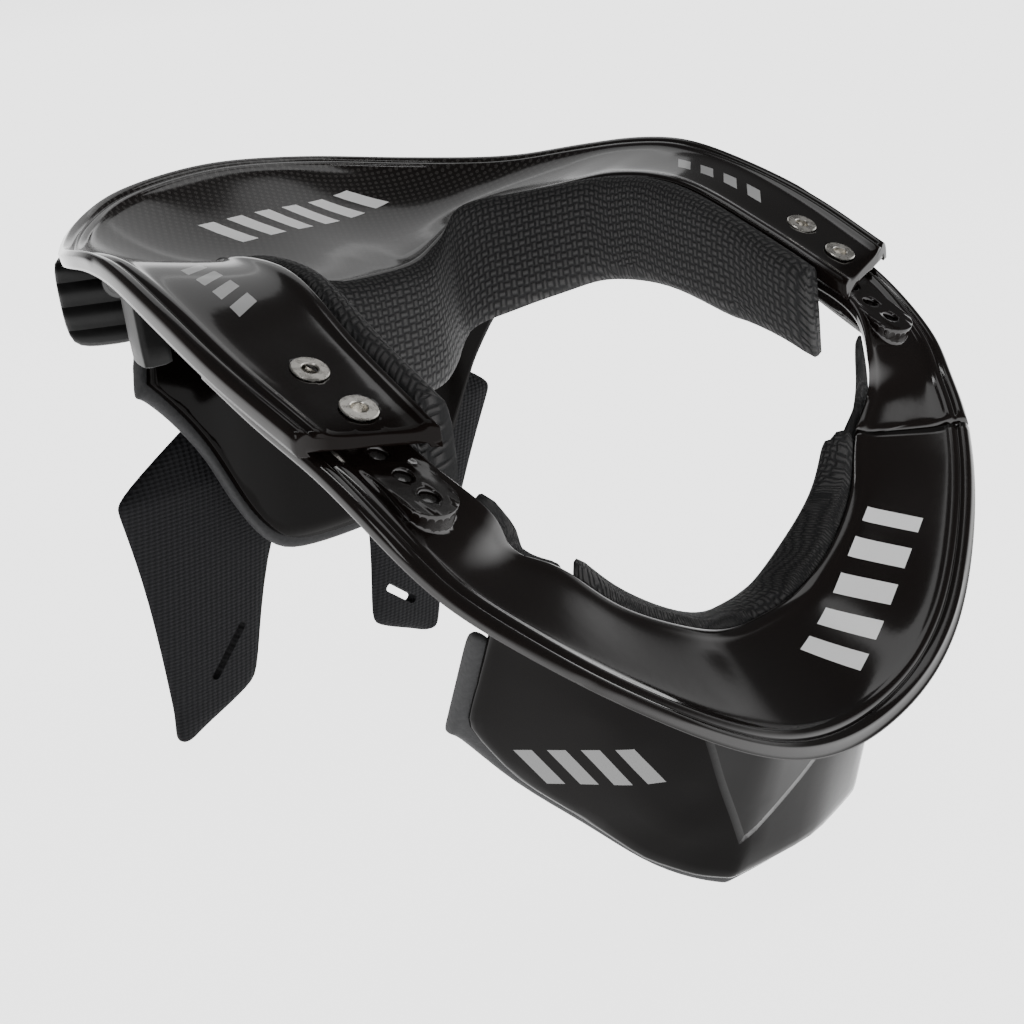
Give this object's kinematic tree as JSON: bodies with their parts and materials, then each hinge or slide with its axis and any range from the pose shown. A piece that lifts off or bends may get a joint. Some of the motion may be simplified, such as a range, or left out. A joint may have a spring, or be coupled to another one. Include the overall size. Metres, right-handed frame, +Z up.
{
  "type": "motocross neck brace",
  "caption": "Black motocross neck brace with a dished rear collar, a front frame, woven foam neck pads, chest and back plates and fabric back flaps.",
  "frame": {"origin": "middle of the brace's bounding box at the level it stands on", "axes": "+Z up, -Y towards the wearer's front, +X towards the wearer's left"},
  "size_m": [0.252, 0.283, 0.2068],
  "materials": {
    "gloss_shell": "high gloss black moulded plastic",
    "neck_foam": "black foam embossed with a basket weave",
    "body_foam": "matte black foam pad with a pressed rim",
    "knit_fabric": "black ribbed knit over a foam core",
    "matte_plastic": "matte black moulded plastic",
    "steel_screw": "bright countersunk socket screws"
  },
  "bodies": {
    "root": {"rear_collar": "gloss_shell", "front_frame": "gloss_shell", "gate_arm": "gloss_shell", "rear_pad": "neck_foam", "front_pad": "neck_foam", "side_pad_right": "neck_foam", "side_pad_left": "neck_foam", "chest_plate": "gloss_shell", "chest_pad": "body_foam", "back_plate": "gloss_shell", "back_pad": "body_foam", "back_flap_right": "knit_fabric", "back_flap_left": "knit_fabric", "side_housing_right": "matte_plastic", "side_housing_left": "matte_plastic", "corner_block_right": "matte_plastic", "corner_block_left": "matte_plastic", "rear_bracket": "matte_plastic", "screw_right_1": "steel_screw", "screw_right_2": "steel_screw", "screw_left_1": "steel_screw", "screw_left_2": "steel_screw"}
  },
  "joints": []
}
